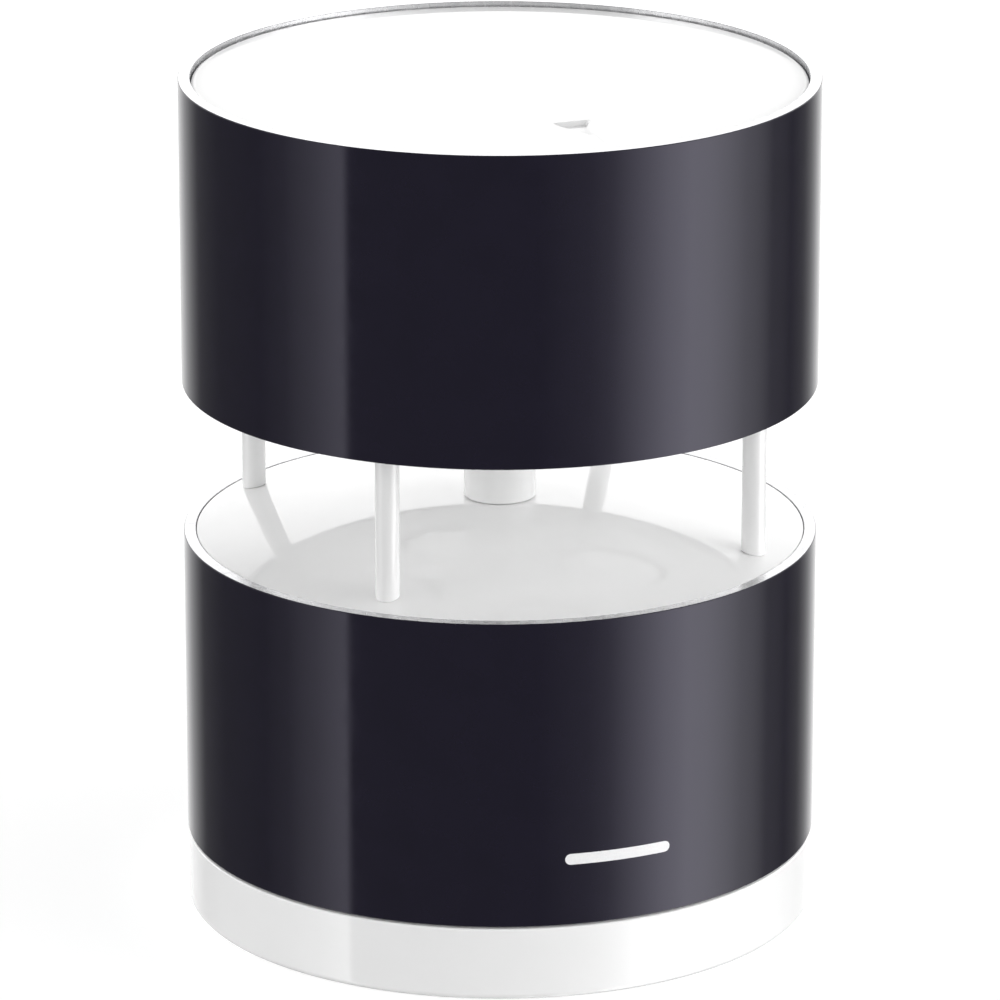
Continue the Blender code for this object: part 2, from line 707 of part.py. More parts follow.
def cell(number, y, z, way):
    """A cell is turned about its own axis, then laid along X with its plus end towards way."""
    shoulder = CELL_END - CELL_NUB
    profile = [
        (0, CELL_END),
        (CELL_NUB_RADIUS, CELL_END),
        (CELL_NUB_RADIUS, shoulder),
        (CELL_RADIUS - CELL_EDGE, shoulder),
        (CELL_RADIUS, shoulder - CELL_EDGE),
        (CELL_RADIUS, -CELL_END),
        (0, -CELL_END),
    ]
    obj = turned(f"cell_{number}", profile, MEDIUM, "cell_jacket")
    obj.rotation_euler = (0, way * QUARTER, 0)
    obj.location = (0, y, z)


def battery_spring(number, y, z, way):
    """A conical spring between a cell's minus end and the carrier's end wall."""
    first = CELL_END + GAP + SPRING_WIRE
    last = BAY_HALF_LENGTH - GAP - SPRING_WIRE
    points = []
    for i in range(SPRING_STEPS + 1):
        part = i / SPRING_STEPS
        across, up = on_circle(SPRING_TIP + SPRING_FLARE * part, 2 * math.pi * SPRING_TURNS * part)
        points.append((-way * (first + (last - first) * part), y + across, z + up))
    round_wire(f"battery_spring_{number}", points, SPRING_WIRE, 0, "steel")


def contact_plate(number, y, z, way):
    """A square plate on the carrier's end wall, dished towards a cell's plus end."""
    name = f"contact_plate_{number}"
    outer = BAY_HALF_LENGTH - GAP
    plate = bmesh.new()
    thickness = (way * outer, way * (outer - CONTACT_THICKNESS))
    add_box(plate, thickness, (y - CONTACT_HALF, y + CONTACT_HALF), (z - CONTACT_HALF, z + CONTACT_HALF))
    obj = place(name, mesh_from(plate, name), "steel")
    dish = bmesh.new()
    add_cylinder(dish, 0, 0, 0, outer - DISH_SINK - CELL_END - GAP, DISH_FOOT, SMALL, DISH_TOP)
    lay = Matrix.Rotation(-way * QUARTER, 4, "Y")
    move = Matrix.Translation((way * (outer - DISH_SINK), y, z))
    bmesh.ops.transform(dish, matrix=move @ lay, verts=dish.verts)
    join(obj, dish)


def base_cover(parent):
    """The white band with its floor, blind tripod boss and lugged collar, in one moulding."""
    band_top = BAND_HEIGHT - GAP
    profile = [
        (0, BOSS_TOP),
        (BOSS_FLANGE, BOSS_TOP),
        (BOSS_FLANGE, BOSS_FLANGE_LOW),
        (BOSS_NECK, BOSS_FLANGE_LOW),
        (BOSS_NECK, FLOOR),
        (COLLAR_INNER, FLOOR),
        (COLLAR_INNER, COLLAR_TOP),
        (COLLAR_RADIUS, COLLAR_TOP),
        (COLLAR_RADIUS, SHELF),
        (SHELF_RADIUS, SHELF),
        (SHELF_RADIUS, FLOOR_GROOVE),
        (BAND_INNER, FLOOR_GROOVE),
        (BAND_INNER, band_top),
        (OUTER_RADIUS, band_top),
        (OUTER_RADIUS, FOOT_CHAMFER),
        (OUTER_RADIUS - FOOT_CHAMFER, 0),
        (INSERT_SOCKET, 0),
        (INSERT_SOCKET, INSERT_SOCKET_TOP),
        (0, INSERT_SOCKET_TOP),
    ]
    cover = turned("base_cover", profile, LARGE, "white_gloss", parent)
    lugs = bmesh.new()
    radii = (COLLAR_RADIUS - LUG_ROOT, COLLAR_RADIUS + LUG_REACH)
    angles = (-LUG_HALF_ANGLE, LUG_HALF_ANGLE)
    for start in range(STARTS):
        add_helical_block(lugs, radii, angles, start * QUARTER, LUG_BOTTOM, LUG_HEIGHT, 2)
    join(cover, lugs)


def base_seal(parent):
    centre_radius = COLLAR_RADIUS + GAP + SEAL_SECTION
    centre_z = SHELF + GAP + SEAL_SECTION
    section = []
    for i in range(SEAL_SIDES):
        x, z = on_circle(SEAL_SECTION, -2 * math.pi * i / SEAL_SIDES)
        section.append((centre_radius + x, centre_z + z))
    turned("base_seal", section, LARGE, "rubber", parent)


def tripod_insert(parent):
    """A brass insert for a quarter-inch tripod screw. Its bore is the thread's outer diameter."""
    shoulder = INSERT_RADIUS - INSERT_WAIST
    profile = [
        (THREAD_RADIUS, INSERT_TOP),
        (INSERT_RADIUS, INSERT_TOP),
        (INSERT_RADIUS, WAIST_HIGH + shoulder),
        (INSERT_WAIST, WAIST_HIGH),
        (INSERT_WAIST, WAIST_LOW),
        (INSERT_RADIUS, WAIST_LOW - shoulder),
        (INSERT_RADIUS, INSERT_LOW),
        (THREAD_RADIUS + INSERT_CHAMFER, INSERT_LOW),
        (THREAD_RADIUS, INSERT_LOW + INSERT_CHAMFER),
    ]
    turned("tripod_insert", profile, MEDIUM, "brass", parent)


def cell_retainer(parent):
    """A plate that snaps round the tripod boss and turns on it. Its two fins straddle the carrier."""
    disc = [
        (RETAINER_HOLE, RETAINER_TOP),
        (RETAINER_RADIUS, RETAINER_TOP),
        (RETAINER_RADIUS, RETAINER_LOW),
        (RETAINER_HOLE, RETAINER_LOW),
    ]
    plate = turned("cell_retainer", disc, LARGE, "white_plastic", parent)
    fins = bmesh.new()
    slits = bmesh.new()
    for way in (-1, 1):
        across = (way * FIN_INNER, way * (FIN_INNER + FIN_THICKNESS))
        add_box(fins, (-FIN_HALF_LENGTH, FIN_HALF_LENGTH), across, (RETAINER_TOP - FIN_ROOT, FIN_TOP))
        reach = (way * (RETAINER_HOLE - PAST), way * SLIT_END)
        add_box(slits, (-SLIT_HALF, SLIT_HALF), reach, (RETAINER_LOW - PAST, RETAINER_TOP + PAST))
    join(plate, fins)
    cut(plate, slits)


def cell_pad(number, way, parent):
    name = f"cell_pad_{number}"
    pad = bmesh.new()
    heights = (RETAINER_TOP + GAP, LOW_CELL_Z - CELL_RADIUS - GAP)
    add_box(pad, (way * PAD_NEAR, way * PAD_FAR), (-PAD_HALF_WIDTH, PAD_HALF_WIDTH), heights)
    place(name, mesh_from(pad, name), "foam", parent)


def upper_drum():
    sleeve("upper_sleeve", UPPER_BOTTOM, TOTAL_HEIGHT)
    top_cap()
    cap_gasket()
    upper_housing()
    for number, angle in enumerate(CARDINALS, 1):
        transducer(number, angle)
        transducer_boot(number, angle)
    transducer_clamp()
    board("sensor_board", SENSOR_BOARD_Z, SENSOR_BOARD_RADIUS, SENSOR_BOARD_PARTS_MM)


def gap_pieces():
    for number, angle in enumerate(DIAGONALS, 1):
        post(number, angle)
    centre_tube()
    wire_loom()


def lower_drum():
    sleeve("lower_sleeve", BAND_HEIGHT, LOWER_TOP)
    lower_housing()
    board("main_board", MAIN_BOARD_Z, MAIN_BOARD_RADIUS, MAIN_BOARD_PARTS_MM)
    battery_carrier()
    carrier_screws()
    for where in cell_places():
        cell(*where)
        battery_spring(*where)
        contact_plate(*where)


def base():
    drop_joint = joint_empty("base_drop")
    turn_joint = joint_empty("base_turn", drop_joint)
    cell_retainer(drop_joint)
    for number, way in enumerate((-1, 1), 1):
        cell_pad(number, way, drop_joint)
    base_cover(turn_joint)
    base_seal(turn_joint)
    tripod_insert(turn_joint)


clear_scene()
PARTS = new_collection(COLLECTION)
CUTTERS = new_collection("cutters")
MATERIALS = make_materials()
upper_drum()
gap_pieces()
lower_drum()
base()
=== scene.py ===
"""Looks of the ultrasonic wind gauge: two black anodised drums with gloss white cores.

Every visible moulding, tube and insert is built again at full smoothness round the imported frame, with
rounded edges, and each hidden CAD node gets a procedural material. Lengths are in metres.
"""

import functools
import math

import bmesh
import bpy
from mathutils import Matrix, Vector


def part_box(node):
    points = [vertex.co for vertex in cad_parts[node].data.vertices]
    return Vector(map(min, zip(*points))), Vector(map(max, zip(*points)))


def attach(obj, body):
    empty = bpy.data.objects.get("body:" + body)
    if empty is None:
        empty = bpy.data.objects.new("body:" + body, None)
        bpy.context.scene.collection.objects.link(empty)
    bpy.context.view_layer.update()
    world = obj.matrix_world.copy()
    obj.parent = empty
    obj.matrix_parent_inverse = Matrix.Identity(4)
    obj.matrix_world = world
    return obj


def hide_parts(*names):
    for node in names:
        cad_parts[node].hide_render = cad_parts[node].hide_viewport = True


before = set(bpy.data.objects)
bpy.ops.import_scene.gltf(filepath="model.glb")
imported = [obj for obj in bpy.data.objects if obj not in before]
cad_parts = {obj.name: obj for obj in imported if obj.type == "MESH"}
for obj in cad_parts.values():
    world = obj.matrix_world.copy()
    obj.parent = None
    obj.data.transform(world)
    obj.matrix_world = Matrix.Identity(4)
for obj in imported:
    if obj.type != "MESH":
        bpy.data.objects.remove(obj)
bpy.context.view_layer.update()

MM = 0.001
PAST = 1.0 * MM

# Outer form, read from the frame
OUTER_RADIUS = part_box("upper_sleeve")[1].x
UPPER_BOTTOM, TOTAL_HEIGHT = (corner.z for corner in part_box("upper_sleeve"))
LOWER_SLEEVE_BOTTOM, LOWER_TOP = (corner.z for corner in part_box("lower_sleeve"))
CORE_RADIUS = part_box("upper_housing")[1].x
UPPER_FLOOR, UPPER_WALL_TOP = (corner.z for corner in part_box("upper_housing"))
CORE_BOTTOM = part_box("lower_housing")[0].z
CAP_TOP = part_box("top_cap")[1].z
BAND_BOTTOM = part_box("base_cover")[0].z
COLLAR_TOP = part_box("base_cover")[1].z
FRAME_GAP = 0.3 * MM

# Sleeves and cores
SLEEVE_INNER = OUTER_RADIUS - 1.6 * MM
SLEEVE_EDGE = 0.12 * MM
CORE_OUTER = SLEEVE_INNER - 0.05 * MM
CORE_INNER = CORE_RADIUS - 2.0 * MM
CORE_EDGE = 0.4 * MM
PLATE = 2.2 * MM
UPPER_FLOOR_TOP = UPPER_FLOOR + PLATE
DOME_RISE = 4.2 * MM
DOME_RINGS = 28
SPIGOT_HOLE = 4.2 * MM
BOSS_CIRCLE = 28.5 * MM
BOSS_RADIUS = 2.8 * MM
PILOT_RADIUS = 0.95 * MM
CLEAR_RADIUS = 1.2 * MM
CLAMP_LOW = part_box("transducer_clamp")[0].z
MAIN_BOARD_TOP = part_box("main_board")[0].z + 1.6 * MM

# Cap and arrow
CAP_UNDERSIDE = CAP_TOP - 2.5 * MM
CAP_EDGE = 0.55 * MM
SKIRT_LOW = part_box("top_cap")[0].z
SKIRT_OUTER = CORE_INNER - FRAME_GAP
SKIRT_INNER = SKIRT_OUTER - 1.6 * MM
ARROW_BACK = 24.3 * MM
ARROW_TIP = 35.0 * MM
ARROW_HALF_WIDTH = 3.5 * MM
ARROW_DEPTH = 0.8 * MM
ARROW_WALL_RUN = 1.3 * MM
ARROW_CORNER = 0.55 * MM

# Pieces across the gap
POST_CIRCLE = 36.6 * MM
POST_RADIUS = 1.6 * MM
POST_EDGE = 0.2 * MM
TAP_RADIUS = 0.95 * MM
TAP_DEPTH = 6.5 * MM
TUBE_RADIUS = 4.85 * MM
TUBE_BORE = 2.9 * MM
TUBE_EDGE = 0.25 * MM
SPIGOT_RADIUS = 3.9 * MM
SPIGOT_LENGTH = 5.0 * MM

# Transducers and their mouths
TRANSDUCER_CIRCLE = 19.0 * MM
TRANSDUCER_RADIUS = 8.0 * MM
TRANSDUCER_LENGTH = 12.0 * MM
TRANSDUCER_EDGE = 0.5 * MM
FACE_RIM = 1.1 * MM
FACE_SINK = 0.25 * MM
MOUTH_RADIUS = 8.7 * MM
MOUTH_CHAMFER = 0.6 * MM
PIN_RADIUS = 0.4 * MM
PIN_SPREAD = 2.5 * MM

# Base
BAND_TOP = LOWER_SLEEVE_BOTTOM - FRAME_GAP
BAND_WALL = 2.2 * MM
FOOT_ROUND = 0.9 * MM
BAND_EDGE = 0.25 * MM
FLOOR = 2.4 * MM
FLOOR_GROOVE = 3.0 * MM
SHELF = 10.6 * MM
SHELF_RADIUS = 38.1 * MM
COLLAR_RADIUS = 36.3 * MM
COLLAR_WALL = 2.0 * MM
DROP = 6.0 * MM
QUARTER = math.pi / 2
SLOPE = DROP / QUARTER
LUG_BOTTOM = 21.5 * MM
LUG_HEIGHT = 1.8 * MM
LUG_RADII = (COLLAR_RADIUS - 0.5 * MM, COLLAR_RADIUS + 1.7 * MM)
LUG_HALF_ANGLE = math.radians(9)
LUG_ANGLES = (-LUG_HALF_ANGLE, LUG_HALF_ANGLE)
RIDGE_HEIGHT = 2.0 * MM
RIDGE_LOW = LUG_BOTTOM - FRAME_GAP - RIDGE_HEIGHT
RIDGE_RADII = (36.9 * MM, CORE_INNER + 0.6 * MM)
RIDGE_ANGLES = (math.radians(-60), LUG_HALF_ANGLE + math.radians(4))
STOP_ANGLES = (LUG_HALF_ANGLE + math.radians(1), LUG_HALF_ANGLE + math.radians(5))
STOP_HEIGHT = RIDGE_HEIGHT + LUG_HEIGHT
SEAL_SECTION = 0.9 * MM

# Tripod insert
THREAD_RADIUS = 3.175 * MM
THREAD_PITCH = 1.27 * MM
THREAD_DEPTH = 0.55 * MM
INSERT_RADIUS = 4.7 * MM
INSERT_WAIST = 4.2 * MM
INSERT_LOW, INSERT_TOP = (corner.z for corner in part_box("tripod_insert"))
INSERT_SOCKET = INSERT_RADIUS + FRAME_GAP
INSERT_SOCKET_TOP = 7.3 * MM
KNURL_COUNT = 40
KNURL_DEPTH = 0.12 * MM

# The plain printed bar on the lower drum
BAR_HALF_LENGTH = 7.4 * MM
BAR_HALF_HEIGHT = 0.75 * MM
BAR_HEIGHT = 19.4 * MM
BAR_PROUD = 0.02 * MM
BAR_COLUMNS = 40

# Camera: where it stands, what it looks at and how long its lens is
CAMERA_DISTANCE = 0.924
CAMERA_ELEVATION = math.radians(17.64)
CAMERA_TURN = math.radians(-21.5)
CAMERA_AIM = 0.055
CAMERA_LENS_MM = 247.4
CAMERA_SHIFT = 0.0024

# Studio light. LOW_LIGHT holds below the horizon, where only reflections see it, HORIZON_LIGHT just above it
# and SKY_LIGHT high up. Each is a list of (azimuth in degrees, level). Azimuth 0 is behind the camera, and
# the camera's right is positive
BRIGHTEST = 8.0
WHITE_SEEN = 1.02
TABLE_GLOW = 0.62
CARD_FOOT_FADE = (math.radians(-12), math.radians(-4))
CARD_TOP_FADE = (math.radians(18), math.radians(45))
LOW_LIGHT = [
    (-180, 1.15),
    (-160, 1.1),
    (-148, 0.72),
    (-138, 0.28),
    (-120, 0.26),
    (-95, 0.45),
    (-83, 0.85),
    (-70, 1.95),
    (-57.2, 3.5),
    (-55.6, 0.74),
    (14, 0.74),
    (32, 1.2),
    (40, 1.8),
    (62, 6.0),
    (72, 6.9),
    (80, 6.0),
    (98, 2.5),
    (114, 0.62),
    (128, 0.22),
    (140, 0.28),
    (148, 0.55),
    (160, 1.1),
    (180, 1.3),
]
HORIZON_LIGHT = [
    (-180, 2.0),
    (-150, 2.0),
    (-120, 2.4),
    (-95, 2.6),
    (-70, 3.5),
    (-58, 3.8),
    (-52, 1.2),
    (14, 1.2),
    (40, 2.1),
    (62, 5.0),
    (72, 5.6),
    (80, 5.2),
    (98, 3.3),
    (120, 2.3),
    (150, 2.0),
    (180, 2.0),
]
SKY_LIGHT = [
    (-180, 0.2),
    (-70, 0.2),
    (20, 0.15),
    (110, 0.2),
    (180, 0.2),
]

ROUND, FINE, SMALL = 192, 96, 32
ARC_STEPS = 5
SHARP_ANGLE = math.radians(25)
DIAGONALS = [math.radians(45 + 90 * i) for i in range(4)]
CARDINALS = [math.radians(90 * i) for i in range(4)]


# ---------------------------------------------------------------- mesh tools


def on_circle(radius, angle):
    return radius * math.cos(angle), radius * math.sin(angle)


def spread(start, end, count):
    return [start + (end - start) * i / (count - 1) for i in range(count)]


def arc_points(before, here, after, radius):
    """The corner at here, rounded to radius between its two neighbours."""
    towards = (before - here).normalized()
    away = (after - here).normalized()
    half = towards.angle(away) / 2
    centre = here + (towards + away).normalized() * (radius / math.sin(half))
    back = radius / math.tan(half)
    first = (here + towards * back - centre).normalized()
    last = (here + away * back - centre).normalized()
    return [centre + radius * first.slerp(last, step / ARC_STEPS) for step in range(ARC_STEPS + 1)]


def outline(corners):
    """Points of a closed outline. A corner is (x, y), or (x, y, radius) where it is rounded."""
    points = []
    for i, (x, y, *radius) in enumerate(corners):
        here = Vector((x, y))
        if not radius:
            points.append(here)
            continue
        before = Vector(corners[i - 1][:2])
        after = Vector(corners[(i + 1) % len(corners)][:2])
        points += arc_points(before, here, after, radius[0])
    return points


def lathe(name, points, segments, centre=(0, 0), shape=None):
    """A mesh from (radius, height) points turned about Z. It closes on itself unless it starts on the axis.
    shape(radius, height, angle), if given, returns the radius to use there."""
    bm = bmesh.new()
    rings = []
    for radius, height in points:
        if radius < 1e-7:
            rings.append([bm.verts.new((*centre, height))] * segments)
            continue
        ring = []
        for i in range(segments):
            angle = 2 * math.pi * i / segments
            x, y = on_circle(shape(radius, height, angle) if shape else radius, angle)
            ring.append(bm.verts.new((centre[0] + x, centre[1] + y, height)))
        rings.append(ring)
    pairs = list(zip(rings, rings[1:]))
    if points[0][0] > 1e-7:
        pairs.append((rings[-1], rings[0]))
    for low, high in pairs:
        for i in range(segments):
            j = (i + 1) % segments
            corners = dict.fromkeys((low[i], low[j], high[j], high[i]))
            if len(corners) > 2:
                bm.faces.new(corners)
    return mesh_from(bm, name)


def mesh_from(bm, name):
    bmesh.ops.recalc_face_normals(bm, faces=bm.faces)
    mesh = bpy.data.meshes.new(name)
    bm.to_mesh(mesh)
    bm.free()
    return mesh


def add_cylinder(bm, x, y, low, high, radius, segments=SMALL, top_radius=None):
    bmesh.ops.create_cone(
        bm,
        cap_ends=True,
        segments=segments,
        radius1=radius,
        radius2=radius if top_radius is None else top_radius,
        depth=high - low,
        matrix=Matrix.Translation((x, y, (low + high) / 2)),
    )


def add_helical_block(bm, radii, angles, turn, bottom, height, cuts):
    """A block that climbs round Z by SLOPE. Its underside is at bottom where its own angle is 0."""
    block = bmesh.new()
    bmesh.ops.create_cube(block, size=1.0)
    along = [e for e in block.edges if abs(e.verts[0].co.x - e.verts[1].co.x) > 0.5]
    bmesh.ops.subdivide_edges(block, edges=along, cuts=cuts, use_grid_fill=True)
    for vertex in block.verts:
        across, out, up = (c + 0.5 for c in vertex.co)
        angle = angles[0] + across * (angles[1] - angles[0])
        x, y = on_circle(radii[0] + out * (radii[1] - radii[0]), angle + turn)
        vertex.co = (x, y, bottom + SLOPE * angle + up * height)
    mesh = mesh_from(block, "block")
    bm.from_mesh(mesh)
    bpy.data.meshes.remove(mesh)


def prism(levels):
    """A closed solid through rings of points, given as lists of the same length from bottom to top."""
    bm = bmesh.new()
    rings = [[bm.verts.new(point) for point in level] for level in levels]
    bm.faces.new(rings[0])
    bm.faces.new(rings[-1])
    count = len(rings[0])
    for low, high in zip(rings, rings[1:]):
        for i in range(count):
            j = (i + 1) % count
            bm.faces.new((low[i], low[j], high[j], high[i]))
    return bm


def piece(name, mesh, body, materials, replaced=()):
    """Links a new piece, shades it smooth up to its corners, and ties it to its body and CAD nodes."""
    obj = bpy.data.objects.new(name, mesh)
    bpy.context.scene.collection.objects.link(obj)
    finish_mesh(obj, materials)
    if replaced:
        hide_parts(*replaced)
    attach(obj, body)
    return obj


def finish_mesh(obj, materials):
    obj.data.materials.clear()
    for material in materials:
        obj.data.materials.append(material)
    obj.data.shade_smooth()
    obj.data.set_sharp_from_angle(angle=SHARP_ANGLE)
    obj.modifiers.new("normals", "WEIGHTED_NORMAL").keep_sharp = True


def carved(mesh, steps):
    """mesh after Booleans with each (operation, bmesh) in turn, applied."""
    obj = bpy.data.objects.new(mesh.name, mesh)
    bpy.context.scene.collection.objects.link(obj)
    for operation, bm in steps:
        tool = bpy.data.objects.new("tool", mesh_from(bm, "tool"))
        bpy.context.scene.collection.objects.link(tool)
        modifier = obj.modifiers.new("carve", "BOOLEAN")
        modifier.operation = operation
        modifier.object = tool
        modifier.solver = "EXACT"
        evaluated = obj.evaluated_get(bpy.context.evaluated_depsgraph_get())
        result = bpy.data.meshes.new_from_object(evaluated)
        obj.modifiers.clear()
        obj.data = result
        bpy.data.objects.remove(tool)
    bpy.data.objects.remove(obj)
    return result


# ---------------------------------------------------------------- materials


def new_material(name, **sockets):
    """A Principled material whose uniform values are set on the shader's own sockets."""
    material = bpy.data.materials.new(name)
    material.use_nodes = True
    shader = material.node_tree.nodes["Principled BSDF"]
    for socket, value in sockets.items():
        shader.inputs[socket.replace("_", " ")].default_value = value
    return material


def node(owner, kind, inputs=None, **settings):
    """A node in a material or world, with its settings, and inputs given as values or as sockets to link
    from."""
    tree = owner.node_tree
    made = tree.nodes.new(f"ShaderNode{kind}")
    for key, value in settings.items():
        setattr(made, key, value)
    for key, value in (inputs or {}).items():
        if isinstance(value, bpy.types.NodeSocket):
            tree.links.new(value, made.inputs[key])
        else:
            made.inputs[key].default_value = value
    return made


def shader_of(material):
    return material.node_tree.nodes["Principled BSDF"]


def place_of(material):
    """Object coordinates, in metres on every piece."""
    return node(material, "TexCoord").outputs["Object"]


def noise(material, size, detail=4.0, stretch=(1, 1, 1)):
    """Noise whose features are about size metres across, longer along an axis that stretch makes small."""
    mapped = node(material, "Mapping", {"Vector": place_of(material), "Scale": stretch})
    inputs = {"Vector": mapped.outputs["Vector"], "Scale": 1 / size, "Detail": detail}
    return node(material, "TexNoise", inputs).outputs["Fac"]


def ranged(material, value, low, high, from_low=0.3, from_high=0.7):
    inputs = {"Value": value, "From Min": from_low, "From Max": from_high, "To Min": low, "To Max": high}
    return node(material, "MapRange", inputs).outputs["Result"]


def mixed(material, factor, first, second):
    """Two colours, given as values or as sockets, mixed by factor."""
    mixer = node(material, "Mix", {"Factor": factor}, data_type="RGBA")
    slots = [socket for socket in mixer.inputs if socket.type == "RGBA"]
    for slot, colour in zip(slots, (first, second)):
        if isinstance(colour, bpy.types.NodeSocket):
            material.node_tree.links.new(colour, slot)
        else:
            slot.default_value = (*colour, 1.0)
    return next(socket for socket in mixer.outputs if socket.type == "RGBA")


def tinted(material, value, first, second):
    """Two colours mixed by value, with value's middle spread out."""
    return mixed(material, ranged(material, value, 0.0, 1.0), first, second)


def connect(material, output, socket):
    material.node_tree.links.new(output, shader_of(material).inputs[socket])


def bumped(material, height, depth, strength=1.0, under=None):
    """Bump of a real depth in metres, over another bump if one is given."""
    inputs = {"Height": height, "Distance": depth, "Strength": strength}
    if under is not None:
        inputs["Normal"] = under
    return node(material, "Bump", inputs).outputs["Normal"]


def turning_lines(material, direction, pitch):
    """Lathe marks: bands along Z on a tube's side, or rings round Z on a turned face."""
    settings = {"wave_type": "BANDS", "bands_direction": "Z"}
    if direction == "rings":
        settings = {"wave_type": "RINGS", "rings_direction": "Z"}
    scale = 1 / (2 * math.pi * pitch)
    inputs = {"Vector": place_of(material), "Scale": scale, "Distortion": 0.6, "Detail": 2.0}
    return node(material, "TexWave", inputs, **settings).outputs["Fac"]


def black_anodised():
    material = new_material("black_anodised", IOR=1.30, Specular_Tint=(0.86, 0.83, 1.0, 1.0))
    colour = tinted(material, noise(material, 6 * MM), (0.0030, 0.0020, 0.0085), (0.0042, 0.0030, 0.0105))
    connect(material, colour, "Base Color")
    connect(material, ranged(material, noise(material, 3 * MM), 0.07, 0.12), "Roughness")
    lines = turning_lines(material, "bands", 0.09 * MM)
    connect(material, bumped(material, lines, 0.00002 * MM, 0.3), "Normal")
    return material


def bare_rim():
    material = new_material("bare_rim", Metallic=1.0)
    colour = tinted(material, noise(material, 2 * MM), (0.50, 0.50, 0.51), (0.60, 0.60, 0.61))
    connect(material, colour, "Base Color")
    connect(material, ranged(material, noise(material, 1 * MM), 0.20, 0.32), "Roughness")
    rings = turning_lines(material, "rings", 0.08 * MM)
    connect(material, bumped(material, rings, 0.0006 * MM, 0.5), "Normal")
    return material


def gloss_white(name, colour, roughness):
    """Polished white moulding, with the faint waviness and flow of a real one."""
    material = new_material(name, IOR=1.48)
    darker = tuple(channel * 0.985 for channel in colour)
    connect(material, tinted(material, noise(material, 9 * MM, 2.0), darker, colour), "Base Color")
    rough = ranged(material, noise(material, 1.5 * MM), roughness * 0.8, roughness * 1.25)
    connect(material, rough, "Roughness")
    waviness = bumped(material, noise(material, 5 * MM, 2.0), 0.004 * MM, 0.6)
    connect(material, bumped(material, noise(material, 0.35 * MM), 0.0005 * MM, 0.5, waviness), "Normal")
    return material


def satin_white():
    material = new_material("satin_white", IOR=1.48)
    colour = tinted(material, noise(material, 4 * MM), (0.74, 0.74, 0.72), (0.80, 0.80, 0.78))
    connect(material, colour, "Base Color")
    connect(material, ranged(material, noise(material, 0.8 * MM), 0.38, 0.52), "Roughness")
    connect(material, bumped(material, noise(material, 0.25 * MM), 0.012 * MM), "Normal")
    return material


def turned_metal(name, colour, roughness, pitch):
    material = new_material(name, Metallic=1.0)
    darker = tuple(channel * 0.88 for channel in colour)
    connect(material, tinted(material, noise(material, 1.2 * MM), darker, colour), "Base Color")
    rough = ranged(material, noise(material, 0.6 * MM), roughness * 0.8, roughness * 1.3)
    connect(material, rough, "Roughness")
    rings = turning_lines(material, "rings", pitch)
    connect(material, bumped(material, rings, 0.002 * MM, 0.6), "Normal")
    return material


def rubber():
    material = new_material("black_rubber", IOR=1.5)
    colour = tinted(material, noise(material, 2 * MM), (0.018, 0.018, 0.019), (0.032, 0.032, 0.033))
    connect(material, colour, "Base Color")
    connect(material, ranged(material, noise(material, 0.7 * MM), 0.48, 0.7), "Roughness")
    connect(material, bumped(material, noise(material, 0.2 * MM), 0.008 * MM), "Normal")
    return material


def foam():
    material = new_material("grey_foam")
    cells = node(material, "TexVoronoi", {"Vector": place_of(material), "Scale": 1 / (0.5 * MM)})
    distance = cells.outputs["Distance"]
    connect(material, tinted(material, distance, (0.09, 0.09, 0.10), (0.20, 0.20, 0.21)), "Base Color")
    connect(material, ranged(material, distance, 0.85, 0.97), "Roughness")
    connect(material, bumped(material, distance, 0.12 * MM), "Normal")
    return material


def circuit_board():
    """Green solder resist over a maze of traces."""
    material = new_material("circuit_board", IOR=1.5)
    traces = node(
        material,
        "TexBrick",
        {
            "Vector": place_of(material),
            "Color1": (0.010, 0.130, 0.050, 1.0),
            "Color2": (0.014, 0.160, 0.062, 1.0),
            "Mortar": (0.030, 0.260, 0.110, 1.0),
            "Scale": 1 / (6 * MM),
            "Mortar Size": 0.06,
            "Brick Width": 0.7,
            "Row Height": 0.2,
        },
    )
    connect(material, traces.outputs["Color"], "Base Color")
    connect(material, ranged(material, noise(material, 2 * MM), 0.22, 0.38), "Roughness")
    connect(material, bumped(material, traces.outputs["Fac"], 0.03 * MM, 0.6), "Normal")
    return material


def cell_film():
    """A dark printed film, with bare steel where the cell's ends are. It carries no print."""
    material = new_material("cell_film", IOR=1.5)
    along = node(material, "SeparateXYZ", {"Vector": place_of(material)}).outputs["X"]
    reach = node(material, "Math", {0: along}, operation="ABSOLUTE").outputs["Value"]
    is_end = ranged(material, reach, 0.0, 1.0, 24.0 * MM, 24.1 * MM)
    film = tinted(material, noise(material, 3 * MM), (0.010, 0.030, 0.085), (0.016, 0.042, 0.110))
    connect(material, mixed(material, is_end, film, (0.60, 0.60, 0.58)), "Base Color")
    connect(material, is_end, "Metallic")
    connect(material, ranged(material, noise(material, 1 * MM), 0.20, 0.34), "Roughness")
    connect(material, bumped(material, noise(material, 8 * MM), 0.02 * MM), "Normal")
    return material


def wire_jackets():
    material = new_material("wire_jackets", IOR=1.5)
    strands = node(
        material,
        "TexWave",
        {"Vector": place_of(material), "Scale": 1 / (2 * math.pi * 0.25 * MM), "Distortion": 1.0},
        wave_type="BANDS",
        bands_direction="DIAGONAL",
    ).outputs["Fac"]
    connect(material, tinted(material, strands, (0.20, 0.20, 0.22), (0.42, 0.42, 0.44)), "Base Color")
    connect(material, ranged(material, noise(material, 1 * MM), 0.40, 0.55), "Roughness")
    connect(material, bumped(material, strands, 0.15 * MM), "Normal")
    return material


def printed_ink():
    material = new_material("printed_ink", IOR=1.45)
    speckle = noise(material, 0.25 * MM)
    connect(material, tinted(material, speckle, (0.84, 0.84, 0.85), (0.90, 0.90, 0.90)), "Base Color")
    connect(material, ranged(material, speckle, 0.42, 0.58), "Roughness")
    connect(material, bumped(material, speckle, 0.006 * MM), "Normal")
    return material


# ---------------------------------------------------------------- pieces of the upper drum


